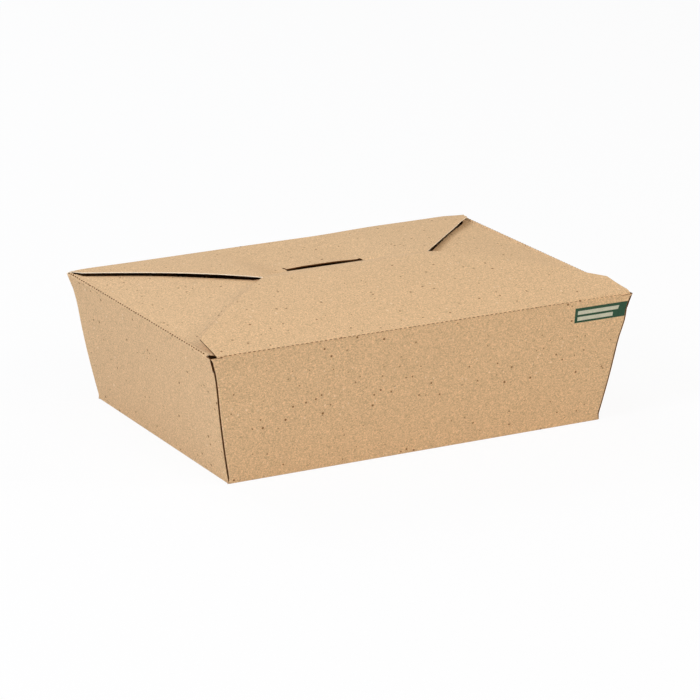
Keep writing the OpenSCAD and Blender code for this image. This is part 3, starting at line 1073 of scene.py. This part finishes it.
def build_front_flap():
    section = FRONT_SECTION
    lengths = path_lengths(section)
    total = lengths[-1]

    def length_at(run):
        for k in range(len(section) - 1):
            if section[k].x <= run <= section[k + 1].x:
                share = (run - section[k].x) / (section[k + 1].x - section[k].x)
                return lerp(lengths[k], lengths[k + 1], share)
        return total

    def along_flap(stops, value):
        return [(length_at(run) / total, value(run)) for run in stops] + [(1.0, 0.0)]

    def curl_share(run):
        return smooth(run / CURL_START) * clamp(1 - run / CURL_RUN)

    def flare_share(run):
        return clamp(1 - run / FRONT_SIDE) ** 2

    guide = poly_curve("flap_section", [(0, p.x - RIM_HALF_Y, p.y + RIM_Z) for p in section])
    stops = (FRONT_SIDE, RIM_HALF_Y + CROSS_Y, ROOT_RUN - 2 * ROOT_STEP)
    outline = front_outline(*[length_at(run) for run in stops], total)
    twist = along_flap([k * ROOT_RUN / TWIST_STOPS for k in range(TWIST_STOPS + 1)], twist_share)
    curl = along_flap(range(CURL_RUN + 1), curl_share)
    flare = along_flap(FLARE_STOPS, flare_share)
    flap = run_tree("front_flap_board", bent_blank_tree(outline, twist, curl, flare), {
        "Section": guide, "Half width": FLAP_HALF * MM, "Twist": TWIST * MM,
        "Twist reach": CROSS_X * MM, "Right lift": RIGHT_LIFT * MM,
        "Right flare": RIGHT_FLARE * MM, "Columns": FLAP_COLUMNS, "Rows": FLAP_ROWS,
        "Board": kraft_outside,
    })
    settle(flap)
    bpy.data.objects.remove(guide)
    flap.data.materials.clear()
    thicken(flap, (kraft_outside, dimmed_flap_edge, kraft_inside, edge_shade))
    settle(flap)
    for face in flap.data.polygons:
        x, y, z = face.center / MM
        at_lip = y < 0 and z < RIM_Z - LIP_SHOWN
        at_left = x < LEFT_EDGE * -FLAP_HALF and y < FRONT_SIDE - RIM_HALF_Y
        if face.material_index == CUT and at_lip:
            face.material_index = OUTSIDE
        elif face.material_index == CUT and at_left:
            face.material_index = SHADED
    return flap


front_flap_board = build_front_flap()


# Perforated folds
CUT_PITCH = 2.4
CUT_LENGTH = 1.3
CUT_RADIUS = 0.28
FRONT_CUT_RADIUS = 0.215
SIDE_CUT_SHARE = 0.72
CUT_FROM_CORNER = 6.8
CUT_FROM_BACK = 3.6
CUT_FROM_FRONT = 8.6
CUT_DEPTH = 0.26
CUT_DROP = CUT_DEPTH + 0.05
FRONT_CUT_DROP = CUT_DEPTH - 0.06
FRONT_CUT_INSET = 0.08
SIDE_CUT_INSET = 1.15
CUT_SIDES = 10


def perforation_tree():
    """Short cuts at an even pitch along a fold."""
    tree, start, end = new_tree("perforated_fold", [
        ("Fold", "NodeSocketObject"), ("Pitch", "NodeSocketFloat"),
        ("Cut length", "NodeSocketFloat"), ("Cut radius", "NodeSocketFloat"),
        ("Cut", "NodeSocketMaterial"),
    ])
    info = new_node(tree, "GeometryNodeObjectInfo", {"Object": start.outputs["Fold"]})
    spots = new_node(tree, "GeometryNodeCurveToPoints", {
        "Curve": info.outputs["Geometry"], "Length": start.outputs["Pitch"],
    }, mode="LENGTH")
    rod = new_node(tree, "GeometryNodeMeshCylinder", {
        "Vertices": CUT_SIDES, "Radius": start.outputs["Cut radius"],
        "Depth": start.outputs["Cut length"],
    })
    repeat = new_node(tree, "GeometryNodeInstanceOnPoints", {
        "Points": spots.outputs["Points"], "Instance": rod.outputs["Mesh"],
        "Rotation": spots.outputs["Rotation"],
    })
    end_tree(tree, repeat.outputs[0], start.outputs["Cut"], end)
    return tree


def build_perforations():
    tree = perforation_tree()
    x = RIM_HALF_X - CUT_FROM_CORNER
    y_front = RIM_HALF_Y - CUT_FROM_FRONT
    y_back = RIM_HALF_Y - CUT_FROM_BACK
    back = RIM_HALF_Y - CUT_DEPTH
    front = -back + FRONT_CUT_INSET
    end = RIM_HALF_X - CUT_DEPTH * SIDE_CUT_INSET
    side_length = CUT_LENGTH * SIDE_CUT_SHARE
    lines = (
        ("front_fold_cuts", (-x, front), (x, front), FRONT_CUT_DROP, FRONT_CUT_RADIUS, CUT_LENGTH),
        ("back_fold_cuts", (x, back), (-x, back), CUT_DROP, CUT_RADIUS, CUT_LENGTH),
        ("left_fold_cuts", (-end, y_back), (-end, -y_front), CUT_DROP, CUT_RADIUS, side_length),
        ("right_fold_cuts", (end, -y_front), (end, y_back), CUT_DROP, CUT_RADIUS, side_length),
    )
    pieces = []
    for name, a, b, drop, radius, length in lines:
        guide = poly_curve(name + "_line", [(*a, RIM_Z - drop), (*b, RIM_Z - drop)])
        # The cuts' dark colour is painted shade.
        cuts = run_tree(name, tree, {
            "Fold": guide, "Pitch": CUT_PITCH * MM, "Cut length": length * MM,
            "Cut radius": radius * MM, "Cut": perforation_shade,
        })
        settle(cuts)
        bpy.data.objects.remove(guide)
        pieces.append(cuts)
    return pieces


fold_cuts = build_perforations()


# Printed field
FIELD_LEFT = 79.4
FIELD_TOP = 59.75
FIELD_HEIGHT = 7.4
FIELD_RIGHT = 1.66
INK = 0.03
INK_ROWS = 8
INK_COLUMNS = 24
# Drop of each pale bar's top below the field's, and its right end's distance from the corner fold
BARS = ((1.5, 6.0), (4.5, 8.5))
BAR_HEIGHT = 1.9
BAR_INSET = 1.5


def print_faces(left, right, low, high, proud):
    """A patch of ink on the front wall. Right is a distance from the corner fold."""
    outward = Vector((0, -math.cos(SIDE_LEAN), math.sin(SIDE_LEAN))) * proud
    rows = []
    for k in range(INK_ROWS + 1):
        z = lerp(low, high, k / INK_ROWS)
        reach = end_plane(z) - right
        places = [lerp(left, reach, j / INK_COLUMNS) for j in range(INK_COLUMNS + 1)]
        rows.append([knee(Vector((x, -side_plane(z), z))) + outward for x in places])
    return grid_faces(rows)


def build_print():
    field = print_faces(FIELD_LEFT, FIELD_RIGHT, FIELD_TOP - FIELD_HEIGHT, FIELD_TOP, INK)
    green = mesh_object("green_field", field)
    green.data.materials.append(green_ink)
    bars = []
    for drop, right in BARS:
        top = FIELD_TOP - drop
        bars += print_faces(FIELD_LEFT + BAR_INSET, right, top - BAR_HEIGHT, top, 2 * INK)
    pale = mesh_object("pale_bars", bars)
    pale.data.materials.append(pale_ink)
    return green, pale


green_field, pale_bars = build_print()


# Floor and light
FLOOR_SIZE = 12.0
FLOOR_COLOUR = (0.86, 0.86, 0.86)
FLOOR_ROUGHNESS = 0.9
FLOOR_GLOW = 0.92
DOME_HORIZON = 0.12
DOME_ZENITH = 0.44
DOME_TOP = 0.9
WHITE = (1.0, 1.0, 1.0)
COOL = (0.90, 0.91, 1.0)
WARM = (1.0, 0.90, 0.82)
SKY = (0.80, 0.87, 1.0)
LAMP_AIM = Vector((0, 0, 0.03))
# Name, place and size in metres, power and colour of each soft lamp
LAMPS = (
    ("overhead_soft", (-0.25, 1.25, 1.0), 0.5, 7.1, SKY),
    ("left_fill", (-1.25, -0.35, 1.0), 0.6, 13.4, COOL),
    ("front_fill", (0.25, -1.4, 1.0), 0.7, 5.8, WARM),
    ("right_fill", (1.2, -0.9, 0.9), 0.6, 7.0, WARM),
)


def background_rays(tree):
    """1 for rays that show the background: from the camera, in a reflection or through glass."""
    rays = tree.nodes.new("ShaderNodeLightPath").outputs
    mirrored = math_node(tree, "MAXIMUM", rays["Is Glossy Ray"], rays["Is Transmission Ray"])
    return math_node(tree, "MAXIMUM", rays["Is Camera Ray"], mirrored)


def blend_surface(tree, share, first, second, output):
    """Sets an output's surface to a blend of two shaders, by the second one's share."""
    inputs = {0: share, 1: first.outputs[0], 2: second.outputs[0]}
    blend = new_node(tree, "ShaderNodeMixShader", inputs)
    set_inputs(tree, tree.nodes[output], {"Surface": blend.outputs[0]})


def add_floor():
    """A pale floor that takes the box's shadow and is nearly white to the camera."""
    bpy.ops.mesh.primitive_plane_add(size=FLOOR_SIZE, location=(0, 0, 0))
    floor = bpy.context.object
    floor.name = "studio_floor"
    material = bpy.data.materials.new("pale_floor")
    material.use_nodes = True
    tree = material.node_tree
    shader = tree.nodes["Principled BSDF"]
    set_inputs(tree, shader, {
        "Base Color": FLOOR_COLOUR, "Roughness": FLOOR_ROUGHNESS, "Specular IOR Level": 0.0,
    })
    glow = new_node(tree, "ShaderNodeEmission", {"Strength": 1.0})
    seen = math_node(tree, "MULTIPLY", background_rays(tree), FLOOR_GLOW)
    blend_surface(tree, seen, shader, glow, "Material Output")
    floor.data.materials.append(material)


def add_world():
    """A white dome that is brightest overhead and white to the camera."""
    world = bpy.data.worlds.new("studio")
    bpy.context.scene.world = world
    world.use_nodes = True
    tree = world.node_tree
    direction = new_node(tree, "ShaderNodeTexCoord").outputs["Generated"]
    height = new_node(tree, "ShaderNodeSeparateXYZ", {0: direction}).outputs["Z"]
    dome = new_node(tree, "ShaderNodeMapRange", {
        "Value": height, "From Min": 0.0, "From Max": DOME_TOP,
        "To Min": DOME_HORIZON, "To Max": DOME_ZENITH,
    })
    sky = tree.nodes["Background"]
    set_inputs(tree, sky, {"Color": WHITE, "Strength": dome.outputs[0]})
    seen = new_node(tree, "ShaderNodeBackground", {"Color": WHITE, "Strength": 1.0})
    blend_surface(tree, background_rays(tree), sky, seen, "World Output")


def add_lamp(name, place, size, power, colour):
    """A square lamp that is aimed at the box."""
    data = bpy.data.lights.new(name, "AREA")
    data.shape = "SQUARE"
    data.size = size
    data.energy = power
    data.color = colour
    lamp = bpy.data.objects.new(name, data)
    lamp.location = place
    lamp.rotation_euler = (LAMP_AIM - Vector(place)).to_track_quat("-Z", "Y").to_euler()
    bpy.context.scene.collection.objects.link(lamp)


add_floor()
add_world()
for lamp in LAMPS:
    add_lamp(*lamp)

bpy.context.scene.view_settings.view_transform = "Standard"

# Bodies
for piece in (carton_board, *fold_cuts, green_field, pale_bars):
    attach(piece, "carton")
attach(front_flap_board, "front_flap")
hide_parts("carton")
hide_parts("front_flap")
